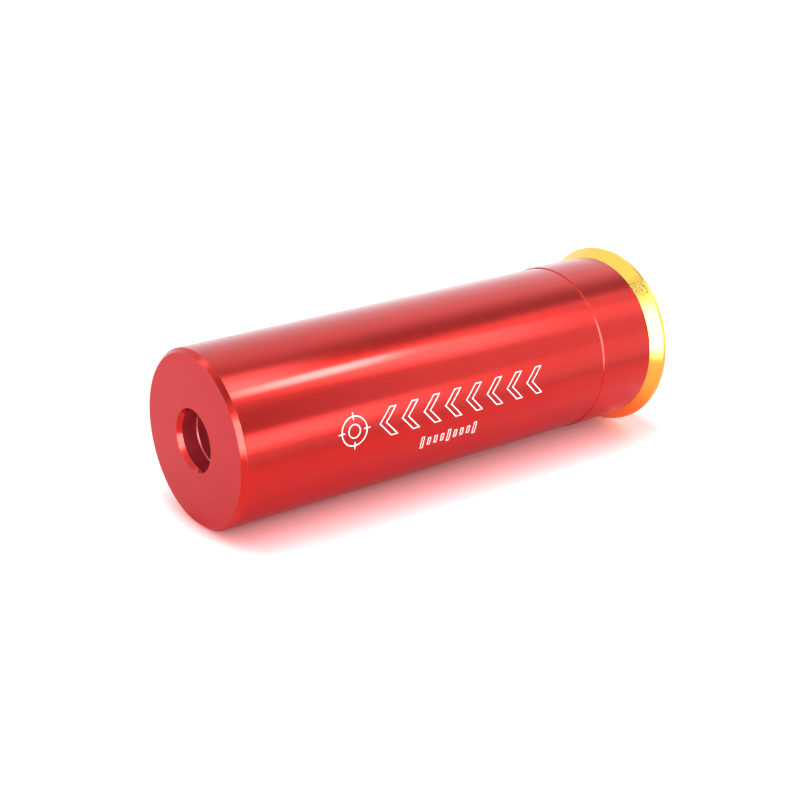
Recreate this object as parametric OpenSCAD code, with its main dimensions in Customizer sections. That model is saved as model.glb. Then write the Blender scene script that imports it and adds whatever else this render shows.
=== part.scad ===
// Cartridge-shaped laser collimator: a red laser module, its button cells and a screw-on base cap
// in a turned shell that is shaped like a 12-gauge cartridge.
//
// Frame: the part lies on its side. The beam leaves along -Y, +Z is up, and the origin is the centre
// of the cap's flat rear face. Every piece is drawn standing on that face, with z measured from the
// rear face towards the front face, and along_beam() lays it down.
//
// Threads are drawn as plain cylinders at their pitch diameter. Units are millimetres.

/* [Shell] */
// Length from the rear face to the front face
shell_len = 61; // [58:0.5:66]
// Diameter of the long front section
front_d = 20.2; // [19.6:0.1:20.6]
// Radial rise from the front section to the head section
head_rise = 0.12; // [0.05:0.01:0.3]
// Distance from the rear face to the step between the two sections
head_len = 9.85; // [9:0.05:12]
// 45 degree chamfer round the front face
front_chamfer = 0.5; // [0.2:0.1:1]
// Diameter of the hole that the beam leaves by
aperture_d = 6.6; // [5:0.1:8]
// Radial width of the countersink round the aperture
aperture_chamfer = 0.32; // [0.1:0.02:0.6]
// Diameter of the long bore that holds the laser barrel and the cells
bore_d = 13.6; // [13.4:0.1:14.2]

/* [Base cap] */
// Diameter of the rim
rim_d = 22.5; // [21.8:0.1:23]
// Thickness of the rim, from the rear face to the shell
rim_t = 1.79; // [1.6:0.01:2]
// Width of the straight band at the edge of the rim
rim_band = 0.52; // [0.3:0.02:0.8]
// Nominal diameter of the cap's thread
cap_thread_d = 16; // [15.6:0.1:16.4]
// Pitch of the cap's thread
cap_thread_pitch = 1; // [0.75:0.25:1.25]
// Width of the coin slot
slot_w = 1.6; // [1.2:0.1:2.4]
// Length of the coin slot
slot_len = 13; // [10:0.5:15]
// Depth of the coin slot
slot_depth = 1.2; // [0.6:0.1:1.5]

/* [Cells] */
// Diameter of one button cell
cell_d = 11.6; // [11.4:0.1:11.6]
// Height of one button cell
cell_h = 5.4; // [5.2:0.1:5.4]

/* [Laser barrel] */
// Length of the barrel
barrel_len = 20; // [19.8:0.1:22]
// Nominal diameter of the focusing thread
focus_thread_d = 9; // [8.8:0.1:9.4]
// Pitch of the focusing thread
focus_thread_pitch = 0.5; // [0.35:0.05:0.5]
// Radius of curvature of the lens's domed side
lens_curve_r = 4.2; // [4.1:0.05:4.3]
// Diameter of the lens's dome
lens_dome_d = 5.6; // [5:0.1:5.7]
// Outside diameter of the lens, with its flange
lens_d = 6.5; // [6.3:0.1:6.6]

/* [Laser diode] */
// Diameter of the diode's header
header_d = 5.6; // [5.4:0.1:5.6]
// Diameter of the diode's can
diode_can_d = 3.55; // [3.4:0.05:3.6]
// Diameter of one lead
lead_d = 0.45; // [0.4:0.05:0.5]

/* [Driver board] */
// Diameter of the board
board_d = 10.1; // [9.9:0.1:10.2]
// Thickness of the board
board_t = 1; // [0.8:0.1:1.2]
// Length of the contact spring with the cap screwed home
contact_spring_len = 7.8; // [7:0.1:8.4]
// Wire diameter of the contact spring
contact_wire_d = 0.5; // [0.4:0.05:0.6]

/* [Hidden] */
$fn = 96;

// Clearances and cutting allowance
touch = 0.02;   // gap between two pieces that touch end to end
slip = 0.05;    // radial clearance of a running or threaded fit
over = 1;       // how far a cutter passes the face that it opens

// Thread depth from the nominal to the pitch radius, as a share of the pitch
PITCH_DROP = 0.3248;

// Shell
front_r = front_d / 2;
head_r = front_r + head_rise;
step_slope = 0.15;          // length of the chamfer on the step
head_edge = 0.07;           // edge break where the shell meets the rim
bore_r = bore_d / 2;
aperture_r = aperture_d / 2;
aperture_sink = 0.55;       // depth of the countersink

// Cap and its thread
rim_r = rim_d / 2;
rim_edge = 0.1;             // edge break on the rear face
cap_thread_r = cap_thread_d / 2 - PITCH_DROP * cap_thread_pitch;
cap_floor = 3;              // thickness of the cap under the cells
seal_r = cap_thread_d / 2 + 0.15;   // counterbore that the O-ring seals in
seal_end = rim_t + 1.6;
groove_r = seal_r - 1.15;   // floor of the O-ring groove
groove_end = rim_t + 1.4;
oring_cord_r = 0.52;
cap_thread_end = rim_t + 7;     // front end of the cap's thread
relief_len = 0.8;               // thread relief at the bottom of the counterbore
cap_bore_end = cap_thread_end + 0.6;
cap_cavity_r = cell_d / 2 + 0.25;

// Contact plate and the stack of cells
contact_t = 0.5;
contact_r = 5;
cell_r = cell_d / 2;
cell_wall = 0.25;
first_cell_z = cap_floor + contact_t + touch;
cell_step = cell_h + touch;
stack_end = first_cell_z + 2 * cell_step + cell_h;

// Driver board, barrel and retaining ring
board_z = stack_end + 2 * touch + contact_spring_len;   // rear face of the board
board_r = board_d / 2;
board_inset = 0.6;          // how far the board sits inside the barrel
barrel_z = board_z - board_inset;
barrel_end = barrel_z + barrel_len;
barrel_r = bore_r - slip;
bore_end = barrel_end + touch;
retainer_t = 2.4;
retainer_z = barrel_z - touch - retainer_t;
retainer_hole_r = 4.9;

// Inside the barrel, from the board forward
board_top = board_z + board_t;
parts_pocket_r = 4.35;
parts_pocket_end = board_top + 4;
header_r = header_d / 2;
header_t = 1.2;
header_z = board_top + 4.8;         // rear face of the header
header_top = header_z + header_t;
diode_can_h = 2.3;
diode_can_t = 0.15;
can_clear_r = 2.3;
spring_seat = header_top + 2.6;     // ledge that the lens spring stands on
focus_r = focus_thread_d / 2;

// The dome focuses the chip: the chip sits one back focal length behind the lens's flat side
LENS_INDEX = 1.49;
chip_z = header_top + 1.27;         // the facet that the light leaves by
dome_r = lens_dome_d / 2;
dome_h = lens_curve_r - sqrt(pow(lens_curve_r, 2) - pow(dome_r, 2));
lens_flange_t = 0.8;
lens_t = lens_flange_t + dome_h;
back_focus = lens_curve_r / (LENS_INDEX - 1) - lens_t / LENS_INDEX;
lens_z = chip_z + back_focus;
lens_ring_t = 1;
holder_z = lens_z - lens_ring_t - 1.2;
holder_end = barrel_end - 0.6;
holder_r = focus_r - slip;
lens_spring_len = holder_z - touch - spring_seat;

// Leads: two pass through glass seals and the third is welded to the header
lead_ring_r = 1.27;
lead_r = lead_d / 2;
lead_angles = [0, 90, 180];
sealed_angles = [0, 180];
seal_bead_r = 0.5;
lead_end = board_z - 0.6;

// Lays a piece down: local z becomes the way from the rear face to the front face
module along_beam() {
    rotate([90, 0, 0]) children();
}

// A disc or ring between two heights
module tube(r_out, r_in, z0, z1) {
    translate([0, 0, z0])
        difference() {
            cylinder(r = r_out, h = z1 - z0);
            if (r_in > 0)
                translate([0, 0, -over]) cylinder(r = r_in, h = z1 - z0 + 2 * over);
        }
}

// A round cutter that opens a bore between two heights
module bore(r, z0, z1) {
    translate([0, 0, z0]) cylinder(r = r, h = z1 - z0);
}

// A solid of revolution from its half section, as [radius, height] points
module turned(section) {
    rotate_extrude() polygon(section);
}

// A small box, centred on x and y, standing on z0
module block(size, at, z0) {
    translate([at[0] - size[0] / 2, at[1] - size[1] / 2, z0]) cube(size);
}

// Quarter-round points on a section, from angle a0 to a1 about a centre
function arc(centre, r, a0, a1, steps = 6) = [
    for (i = [0 : steps])
        let (a = a0 + (a1 - a0) * i / steps)
        [centre[0] + r * cos(a), centre[1] + r * sin(a)]
];

// Helical spring ------------------------------------------------------------------------------
// Centre line of a spring of `turns` turns, whose first and last coils lie flat against their seats
DEAD_TURNS = 0.8;

function coil_height(u, turns, len, wire) =
    let (lead_in = DEAD_TURNS * wire * 1.04,
         rise = (len - wire - 2 * lead_in) / (turns - 2 * DEAD_TURNS))
    wire / 2 + (u < DEAD_TURNS ? u * lead_in / DEAD_TURNS
        : u > turns - DEAD_TURNS ? len - wire - (turns - u) * lead_in / DEAD_TURNS
        : lead_in + (u - DEAD_TURNS) * rise);

function coil_point(u, turns, len, wire, r0, r1) =
    let (r = r0 + (r1 - r0) * u / turns, a = 360 * u)
    [r * cos(a), r * sin(a), coil_height(u, turns, len, wire)];

function unit(v) = v / norm(v);

// Round wire swept along the coil, as rings of points across the centre line
module spring(turns, len, wire, r0, r1, per_turn = 26, sides = 8) {
    steps = round(turns * per_turn);
    centres = [for (i = [0 : steps]) coil_point(turns * i / steps, turns, len, wire, r0, r1)];
    rings = [
        for (i = [0 : steps])
            let (ahead = centres[min(i + 1, steps)] - centres[max(i - 1, 0)],
                 along = unit(ahead),
                 across = unit(cross(along, [0, 0, 1])),
                 up = cross(across, along))
            for (k = [0 : sides - 1])
                let (a = 360 * k / sides)
                centres[i] + wire / 2 * (cos(a) * across + sin(a) * up)
    ];
    skin = [
        for (i = [0 : steps - 1])
            for (k = [0 : sides - 1])
                let (n = (k + 1) % sides, a = i * sides, b = (i + 1) * sides)
                [a + k, b + k, b + n, a + n]
    ];
    first_end = [for (k = [0 : sides - 1]) k];
    last_end = [for (k = [sides - 1 : -1 : 0]) steps * sides + k];
    polyhedron(points = rings, faces = concat(skin, [first_end, last_end]), convexity = 10);
}

// Shell ---------------------------------------------------------------------------------------
module body_shell() {
    color("firebrick") along_beam()
        difference() {
            turned([
                [0, rim_t],
                [head_r - head_edge, rim_t],
                [head_r, rim_t + head_edge],
                [head_r, head_len - step_slope],
                [front_r, head_len],
                [front_r, shell_len - front_chamfer],
                [front_r - front_chamfer, shell_len],
                [0, shell_len]
            ]);
            bore(seal_r, rim_t - over, seal_end);
            bore(cap_thread_r + slip, rim_t - over, cap_bore_end);
            bore(seal_r - 0.05, cap_bore_end - relief_len, cap_bore_end);
            bore(bore_r, rim_t - over, bore_end);
            bore(aperture_r, bore_end - over, shell_len + over);
            translate([0, 0, shell_len - aperture_sink])
                cylinder(r1 = aperture_r, r2 = aperture_r + aperture_chamfer, h = aperture_sink);
            // lead-in at the mouth of the seal's counterbore
            translate([0, 0, rim_t - 0.01])
                cylinder(r1 = seal_r + 0.26, r2 = seal_r, h = 0.26);
        }
}

// Laser barrel and the ring nut that holds it against the shoulder ------------------------------
module laser_barrel() {
    edge = 0.3;
    color("goldenrod") along_beam()
        difference() {
            turned([
                [0, barrel_z],
                [barrel_r - edge, barrel_z],
                [barrel_r, barrel_z + edge],
                [barrel_r, barrel_end - edge],
                [barrel_r - edge, barrel_end],
                [0, barrel_end]
            ]);
            bore(board_r + slip, barrel_z - over, board_top);
            bore(parts_pocket_r, barrel_z, parts_pocket_end);
            bore(header_r + slip / 2, parts_pocket_end - over, header_top);
            bore(can_clear_r, header_top - over, spring_seat + over);
            bore(focus_r, spring_seat, barrel_end + over);
            // shallow grooves that hold the bonding compound
            for (z = [barrel_z + 5, barrel_end - 5])
                difference() {
                    bore(barrel_r + over, z, z + 0.8);
                    bore(barrel_r - 0.3, z - over, z + 0.8 + over);
                }
        }
}

module module_retainer() {
    slot = [2 * bore_r, 1.2, 0.9];
    color("silver") along_beam()
        difference() {
            tube(bore_r - slip, retainer_hole_r, retainer_z, retainer_z + retainer_t);
            translate([-slot[0] / 2, -slot[1] / 2, retainer_z - over])
                cube([slot[0], slot[1], slot[2] + over]);
        }
}

// Lens and its holder ---------------------------------------------------------------------------
module lens_holder() {
    ledge_z = lens_z + lens_flange_t + touch;
    slot = [1, 0.8];
    color("darkgoldenrod") along_beam()
        difference() {
            tube(holder_r, 0, holder_z, holder_end);
            bore(lens_d / 2 + slip, holder_z - over, ledge_z);
            bore(dome_r + slip, ledge_z - over, holder_end + over);
            // flare that keeps the edge of the beam clear
            translate([0, 0, holder_end - 0.5])
                cylinder(r1 = dome_r + slip, r2 = dome_r + slip + 0.4, h = 0.51);
            // screwdriver slots
            block([2 * focus_r, slot[0], slot[1] + over], [0, 0], holder_end - slot[1]);
        }
}

module collimator_lens() {
    color("lightcyan") along_beam()
        union() {
            tube(lens_d / 2, 0, lens_z, lens_z + lens_flange_t);
            intersection() {
                translate([0, 0, lens_z + lens_t - lens_curve_r]) sphere(r = lens_curve_r);
                bore(dome_r, lens_z + lens_flange_t / 2, lens_z + lens_t + over);
            }
        }
}

module lens_retainer() {
    top = lens_z - touch;
    color("darkgoldenrod") along_beam()
        difference() {
            tube(lens_d / 2 + slip / 2, 2.4, top - lens_ring_t, top);
            block([lens_d + over, 0.8, 0.5 + over], [0, 0], top - lens_ring_t - over);
        }
}

module lens_spring() {
    wire = 0.36;
    color("gainsboro") along_beam()
        translate([0, 0, spring_seat + touch / 2])
            spring(turns = 4.6, len = lens_spring_len, wire = wire, r0 = 3.7, r1 = 3.7);
}

// Laser diode -----------------------------------------------------------------------------------
module diode_header() {
    notch = 0.4;
    color("khaki") along_beam()
        difference() {
            tube(header_r, 0, header_z, header_top);
            for (a = sealed_angles)
                rotate(a) translate([lead_ring_r, 0, 0])
                    bore(seal_bead_r, header_z - over, header_top + over);
            // index notches on the edge
            for (a = [45, 135, 270])
                rotate(a) block([2 * notch, notch, header_t + 2 * over], [header_r, 0], header_z - over);
        }
}

module diode_can() {
    flange_r = 2.1;
    can_r = diode_can_d / 2;
    window_r = 0.85;
    top = header_top + diode_can_h;
    color("gold") along_beam()
        turned(concat(
            [[can_r - diode_can_t, header_top],
             [flange_r, header_top],
             [flange_r, header_top + diode_can_t]],
            [[can_r, header_top + diode_can_t]],
            arc([can_r - 0.25, top - 0.25], 0.25, 0, 90, 4),
            [[window_r, top],
             [window_r, top - diode_can_t],
             [can_r - diode_can_t, top - diode_can_t]]
        ));
}

module diode_window() {
    top = header_top + diode_can_h - diode_can_t;
    color("lightblue") along_beam()
        tube(diode_can_d / 2 - diode_can_t - 0.05, 0, top - 0.3, top);
}

module diode_heatsink() {
    color("orange") along_beam()
        block([1.1, 0.75, 1.2], [0, 0.45], header_top);
}

module laser_chip() {
    length = 0.3;
    color("dimgray") along_beam()
        block([0.25, 0.1, length], [0, 0.02], chip_z - length);
}

module monitor_chip() {
    color("slategray") along_beam()
        block([0.7, 0.7, 0.15], [0, -0.5], header_top);
}

module lead_seals() {
    color("darkslategray") along_beam()
        for (a = sealed_angles)
            rotate(a) translate([lead_ring_r, 0, 0])
                tube(seal_bead_r, lead_r, header_z, header_top);
}

module diode_leads() {
    tip = 0.5;
    color("lightgray") along_beam()
        for (a = lead_angles)
            rotate(a) translate([lead_ring_r, 0, 0])
                bore(lead_r, lead_end, a == 90 ? header_z : header_top + tip);
}

// Driver board ----------------------------------------------------------------------------------
module driver_board() {
    notch = 1.4;
    color("seagreen") along_beam()
        difference() {
            tube(board_r, 0, board_z, board_top);
            for (a = lead_angles)
                rotate(a) translate([lead_ring_r, 0, 0])
                    bore(lead_r + slip, board_z - over, board_top + over);
            // half-round notch left by the breaking tab
            translate([0, board_r, 0]) bore(notch / 2, board_z - over, board_top + over);
        }
}

module driver_transistor() {
    body = [2.9, 1.3, 0.95];
    leg = [0.4, 0.12, 0.55];
    seat = [0, -2.7];
    color("dimgray") along_beam()
        union() {
            block([body[0], body[1], body[2]], seat, board_top + 0.1);
            for (x = [-0.95, 0.95])
                block([leg[0], leg[1], leg[2]], [seat[0] + x, seat[1] - 0.68], board_top);
            block([leg[0], leg[1], leg[2]], [seat[0], seat[1] + 0.68], board_top);
            for (x = [-0.95, 0.95])
                block([leg[0], 0.5, leg[1]], [seat[0] + x, seat[1] - 0.85], board_top);
            block([leg[0], 0.5, leg[1]], [seat[0], seat[1] + 0.85], board_top);
        }
}

// A chip resistor or capacitor, lying along x
module chip_part(size) {
    block(size, [0, 0], board_top);
}

module board_resistors() {
    size = [1.6, 0.8, 0.45];
    color("black") along_beam()
        for (a = [30, 150])
            rotate(a) translate([3.1, 0, 0]) rotate(90) chip_part(size);
}

module board_capacitor() {
    size = [2, 1.25, 0.8];
    color("tan") along_beam()
        translate([0, 3, 0]) chip_part(size);
}

// Solder cones round the three leads, on the rear face of the board
module solder_joints() {
    cone_h = 0.45;
    color("silver") along_beam()
        for (a = lead_angles)
            rotate(a) translate([lead_ring_r, 0, 0])
                difference() {
                    translate([0, 0, board_z - cone_h])
                        cylinder(r1 = lead_r + 0.05, r2 = lead_r + 0.35, h = cone_h);
                    bore(lead_r, board_z - cone_h - over, board_z + over);
                }
}

// Power path ------------------------------------------------------------------------------------
module contact_spring() {
    color("gainsboro") along_beam()
        translate([0, 0, board_z - touch])
            mirror([0, 0, 1])
                spring(turns = 5.2, len = contact_spring_len, wire = contact_wire_d, r0 = 3.3, r1 = 1.7);
}

module battery_sleeve() {
    color("ivory") along_beam()
        tube(bore_r - 0.1, cell_r + 0.15, cap_bore_end + 0.2, retainer_z - 0.2);
}

// Button cells: cell 1 is the rear one. Each stands on its can, with the negative top forward
function cell_z(number) = first_cell_z + (number - 1) * cell_step;

// Heights on a cell, above its base
crimp_h = cell_h - 0.7;         // top of the rolled edge
skirt_h = cell_h - 2.35;        // lower end of the top's skirt
lip_r = cell_r - 0.65;          // inner edge of the rolled edge
top_r = cell_r - 0.9;

module cell_can(number) {
    corner = 0.4;
    roll = 0.5;
    inner = cell_r - cell_wall;
    translate([0, 0, cell_z(number)])
        turned(concat(
            [[0, 0]],
            arc([cell_r - corner, corner], corner, -90, 0),
            arc([cell_r - roll, crimp_h - roll], roll, 0, 90),
            [[lip_r, crimp_h],
             [lip_r, crimp_h - cell_wall],
             [cell_r - roll, crimp_h - cell_wall],
             [inner, crimp_h - roll],
             [inner, cell_wall],
             [0, cell_wall]]
        ));
}

module cell_gasket(number) {
    outer = cell_r - cell_wall - touch;
    translate([0, 0, cell_z(number)])
        turned([
            [top_r + touch, skirt_h],
            [outer, skirt_h],
            [outer, crimp_h - 0.55],
            [cell_r - 0.5, crimp_h - cell_wall - touch],
            [lip_r - touch, crimp_h - cell_wall - touch],
            [lip_r - touch, crimp_h + 0.08],
            [top_r + touch, crimp_h + 0.08]
        ]);
}

module cell_top(number) {
    corner = 0.3;
    translate([0, 0, cell_z(number)])
        turned(concat(
            [[0, cell_h - cell_wall],
             [top_r - cell_wall, cell_h - cell_wall],
             [top_r - cell_wall, skirt_h],
             [top_r, skirt_h]],
            arc([top_r - corner, cell_h - corner], corner, 0, 90),
            [[0, cell_h]]
        ));
}

module cell_filling(number) {
    wide = cell_r - cell_wall - touch;
    narrow = top_r - cell_wall - touch;
    translate([0, 0, cell_z(number)])
        turned([
            [0, cell_wall + touch],
            [wide, cell_wall + touch],
            [wide, skirt_h - touch],
            [narrow, skirt_h - touch],
            [narrow, cell_h - cell_wall - touch],
            [0, cell_h - cell_wall - touch]
        ]);
}

module cell_1_can() { color("silver") along_beam() cell_can(1); }
module cell_1_gasket() { color("darkgreen") along_beam() cell_gasket(1); }
module cell_1_top() { color("gainsboro") along_beam() cell_top(1); }
module cell_1_filling() { color("dimgray") along_beam() cell_filling(1); }
module cell_2_can() { color("silver") along_beam() cell_can(2); }
module cell_2_gasket() { color("darkgreen") along_beam() cell_gasket(2); }
module cell_2_top() { color("gainsboro") along_beam() cell_top(2); }
module cell_2_filling() { color("dimgray") along_beam() cell_filling(2); }
module cell_3_can() { color("silver") along_beam() cell_can(3); }
module cell_3_gasket() { color("darkgreen") along_beam() cell_gasket(3); }
module cell_3_top() { color("gainsboro") along_beam() cell_top(3); }
module cell_3_filling() { color("dimgray") along_beam() cell_filling(3); }

// Base cap --------------------------------------------------------------------------------------
module base_cap() {
    thread_edge = 0.4;
    color("gold") along_beam()
        difference() {
            turned([
                [0, 0],
                [rim_r - rim_edge, 0],
                [rim_r, rim_edge],
                [rim_r, rim_band],
                [head_r - head_edge, rim_t],
                [groove_r, rim_t],
                [groove_r, groove_end],
                [cap_thread_r, groove_end],
                [cap_thread_r, cap_thread_end - thread_edge],
                [cap_thread_r - thread_edge, cap_thread_end],
                [0, cap_thread_end]
            ]);
            bore(cap_cavity_r, cap_floor, cap_thread_end + over);
            coin_slot();
        }
}

// Straight slot with round ends, open at the rear face
module coin_slot() {
    reach = (slot_len - slot_w) / 2;
    block([2 * reach, slot_w, slot_depth + over], [0, 0], -over);
    for (x = [-reach, reach])
        translate([x, 0, 0]) bore(slot_w / 2, -over, slot_depth);
}

module cap_contact() {
    color("lightgray") along_beam()
        tube(contact_r, 0, cap_floor, cap_floor + contact_t);
}

module cap_oring() {
    color("black") along_beam()
        translate([0, 0, (rim_t + groove_end) / 2])
            rotate_extrude()
                translate([groove_r + 0.04 + oring_cord_r, 0]) circle(r = oring_cord_r, $fn = 32);
}

body_shell();
laser_barrel();
module_retainer();
lens_holder();
collimator_lens();
lens_retainer();
lens_spring();
diode_header();
diode_can();
diode_window();
diode_heatsink();
laser_chip();
monitor_chip();
lead_seals();
diode_leads();
driver_board();
driver_transistor();
board_resistors();
board_capacitor();
solder_joints();
contact_spring();
battery_sleeve();
cell_1_can();
cell_1_gasket();
cell_1_top();
cell_1_filling();
cell_2_can();
cell_2_gasket();
cell_2_top();
cell_2_filling();
cell_3_can();
cell_3_gasket();
cell_3_top();
cell_3_filling();
base_cap();
cap_contact();
cap_oring();
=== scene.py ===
"""Looks of the cartridge-shaped laser collimator: turned and threaded metal, springs, cells and optics.

Every length below is in millimetres unless its name ends in _m. Each round piece is drawn in a local
frame with z measured from the cap's flat rear face towards the front face; row() takes a local point
to the row frame, where the beam leaves along -Y.
"""

import itertools
import math

import bmesh
import bpy
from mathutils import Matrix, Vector


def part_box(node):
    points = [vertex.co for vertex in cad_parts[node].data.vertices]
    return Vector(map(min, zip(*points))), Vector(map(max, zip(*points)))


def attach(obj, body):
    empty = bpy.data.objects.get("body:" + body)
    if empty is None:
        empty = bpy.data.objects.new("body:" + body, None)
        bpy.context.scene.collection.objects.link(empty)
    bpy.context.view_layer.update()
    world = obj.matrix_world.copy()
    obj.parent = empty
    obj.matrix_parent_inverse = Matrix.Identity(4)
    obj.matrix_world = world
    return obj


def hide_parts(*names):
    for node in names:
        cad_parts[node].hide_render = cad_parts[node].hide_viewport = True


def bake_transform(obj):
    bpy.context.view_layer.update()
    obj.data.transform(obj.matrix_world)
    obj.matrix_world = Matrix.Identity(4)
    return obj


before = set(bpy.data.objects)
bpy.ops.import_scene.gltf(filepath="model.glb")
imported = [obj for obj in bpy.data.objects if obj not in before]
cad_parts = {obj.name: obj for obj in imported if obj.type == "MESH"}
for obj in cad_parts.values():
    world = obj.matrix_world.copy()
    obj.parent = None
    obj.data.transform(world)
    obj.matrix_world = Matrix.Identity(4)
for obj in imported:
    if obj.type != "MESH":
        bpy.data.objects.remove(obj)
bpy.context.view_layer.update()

MM = 0.001
TAU = 2 * math.pi
FRONT_R = 10.1      # radius of the long front section, in front of the step


# ---- places
def span(node):
    """(rear height, front height, outer radius) of a CAD node, in local millimetres."""
    low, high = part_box(node)
    return -high.y / MM, -low.y / MM, max(high.x, high.z) / MM


def row(x, y, z):
    """A local point in millimetres as a row-frame point in metres."""
    return Vector((x * MM, -z * MM, y * MM))


# ---- mesh tools
class Corner:
    """A corner of a half section: radius, height, rounding radius, and the zone of the edge after it."""

    def __init__(self, r, z, rounding=0.0, zone=0):
        self.r, self.z, self.rounding, self.zone = r, z, rounding, zone


def rounded(corners, steps=5):
    """The closed half section as [(r, z, zone)], with each rounded corner as an arc."""
    points = []
    corners = [Corner(*corner) for corner in corners]
    count = len(corners)
    for i, corner in enumerate(corners):
        here = Vector((corner.r, corner.z))
        if corner.rounding <= 0:
            points.append((here.x, here.y, corner.zone))
            continue
        before, after = corners[i - 1], corners[(i + 1) % count]
        to_before = (Vector((before.r, before.z)) - here).normalized()
        to_after = (Vector((after.r, after.z)) - here).normalized()
        half = to_before.angle(to_after) / 2
        reach = corner.rounding / math.tan(half)
        middle = here + (to_before + to_after).normalized() * corner.rounding / math.sin(half)
        first, last = here + to_before * reach, here + to_after * reach
        a0 = math.atan2(first.y - middle.y, first.x - middle.x)
        a1 = math.atan2(last.y - middle.y, last.x - middle.x)
        turn = (a1 - a0 + math.pi) % TAU - math.pi
        for k in range(steps + 1):
            a = a0 + turn * k / steps
            zone = corner.zone if k == steps else before.zone
            points.append((middle.x + corner.rounding * math.cos(a),
                           middle.y + corner.rounding * math.sin(a), zone))
    return supported(points)


def supported(points, shortest=0.3, inset=0.04):
    """The same section with a ring close to each end of every straight stretch, so that the shading of
    a rounded corner stays at the corner."""
    held = []
    for i, (r, z, zone) in enumerate(points):
        far_r, far_z, _ = points[(i + 1) % len(points)]
        held.append((r, z, zone))
        length = math.hypot(far_r - r, far_z - z)
        if length > shortest and max(r, far_r) > 0.5:
            for share in (inset / length, 1 - inset / length):
                held.append((r + (far_r - r) * share, z + (far_z - z) * share, zone))
    return held


PER_MM = 14     # points a millimetre along a thread


def along(r0, z0, r1, z1, count, zone):
    """Extra points between two corners, for a stretch that a thread bends."""
    return [(r0 + (r1 - r0) * k / count, z0 + (z1 - z0) * k / count, 0, zone)
            for k in range(count)]


def thread_shape(phase):
    """Height of a thread flank, 0 at the root to 1 at the crest, over one pitch (phase 0 to 1)."""
    distance = abs((phase % 1.0) - 0.5) * 2
    crest, root = 0.16, 0.84
    return min(1.0, max(0.0, (root - distance) / (root - crest)))


def thread(z0, z1, r_root, r_crest, pitch, runout):
    """A warp for lathe(): inside z0..z1 the radius follows a right-hand screw thread."""
    def warp(r, z, a):
        if not z0 < z < z1:
            return r
        fade = min(1.0, (z - z0) / runout, (z1 - z) / runout)
        turned = thread_shape(z / pitch + a / TAU)
        return r + (r_root + (r_crest - r_root) * turned - r) * fade
    return warp


def mesh_object(name, mesh_build, materials):
    """A new object from a bmesh, shaded smooth with its hard edges kept."""
    bmesh.ops.recalc_face_normals(mesh_build, faces=mesh_build.faces)
    mesh = bpy.data.meshes.new(name)
    mesh_build.to_mesh(mesh)
    mesh_build.free()
    for material in materials:
        mesh.materials.append(material)
    mesh.shade_smooth()
    mesh.set_sharp_from_angle(angle=math.radians(28))
    piece = bpy.data.objects.new(name, mesh)
    bpy.context.scene.collection.objects.link(piece)
    return piece


def add_lathe(build, section, segments, warp=None, centre=(0, 0)):
    """Turns a half section [(r, z, zone)] about an axis parallel to z, into a bmesh."""
    rings = []
    for r, z, _ in section:
        if r < 1e-6:
            rings.append([build.verts.new(row(centre[0], centre[1], z))])
            continue
        ring = []
        for k in range(segments):
            a = TAU * k / segments
            reach = warp(r, z, a) if warp else r
            ring.append(build.verts.new(
                row(centre[0] + reach * math.cos(a), centre[1] + reach * math.sin(a), z)))
        rings.append(ring)
    for i, low in enumerate(rings):
        high = rings[(i + 1) % len(rings)]
        if len(low) == 1 and len(high) == 1:
            continue
        for k in range(segments):
            n = (k + 1) % segments
            corners = [low[k % len(low)], low[n % len(low)], high[n % len(high)], high[k % len(high)]]
            face = build.faces.new(list(dict.fromkeys(corners)))
            face.material_index = section[i][2]


def lathe(name, corners, materials, segments=192, warp=None, steps=5):
    """A piece turned about the beam axis."""
    build = bmesh.new()
    add_lathe(build, rounded(corners, steps), segments, warp)
    return mesh_object(name, build, materials)


BOX_FACES = ((0, 1, 3, 2), (4, 6, 7, 5), (0, 4, 5, 1), (2, 3, 7, 6), (0, 2, 6, 4), (1, 5, 7, 3))


def add_box(build, size, centre, zone=0, rounding=0.0):
    """A local box whose centre and size are given, with rounded edges."""
    verts = [build.verts.new(row(*(centre[i] + side[i] * size[i] / 2 for i in range(3))))
             for side in itertools.product((-1, 1), repeat=3)]
    faces = [build.faces.new([verts[i] for i in face]) for face in BOX_FACES]
    for face in faces:
        face.material_index = zone
    if rounding > 0:
        edges = list({edge for face in faces for edge in face.edges})
        result = bmesh.ops.bevel(build, geom=edges, offset=rounding * MM, segments=2, profile=0.5,
                                 affect="EDGES")
        for face in result["faces"]:
            face.material_index = zone


def cut(piece, cutters, edge=0.0):
    """Cuts the cutters out of a piece, breaks the sharp edges that this leaves, and applies both."""
    for cutter in cutters:
        modifier = piece.modifiers.new("cut", "BOOLEAN")
        modifier.operation = "DIFFERENCE"
        modifier.solver = "EXACT"
        modifier.object = cutter
    apply_modifiers(piece)
    for cutter in cutters:
        bpy.data.objects.remove(cutter)
    if edge > 0:
        bevel = piece.modifiers.new("edge", "BEVEL")
        bevel.width = edge * MM
        bevel.segments = 2
        bevel.limit_method = "ANGLE"
        bevel.angle_limit = math.radians(50)
        apply_modifiers(piece)
    piece.data.shade_smooth()
    piece.data.set_sharp_from_angle(angle=math.radians(28))
    flat = piece.modifiers.new("flat", "WEIGHTED_NORMAL")
    flat.keep_sharp = True
    apply_modifiers(piece)
    return piece


def apply_modifiers(piece):
    """Bakes the modifiers of a piece into its mesh."""
    bpy.context.view_layer.update()
    evaluated = piece.evaluated_get(bpy.context.evaluated_depsgraph_get())
    mesh = bpy.data.meshes.new_from_object(evaluated)
    piece.modifiers.clear()
    old = piece.data
    piece.data = mesh
    bpy.data.meshes.remove(old)


def cutter_box(size, centre):
    build = bmesh.new()
    add_box(build, size, centre)
    return mesh_object("cutter", build, [])


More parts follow.
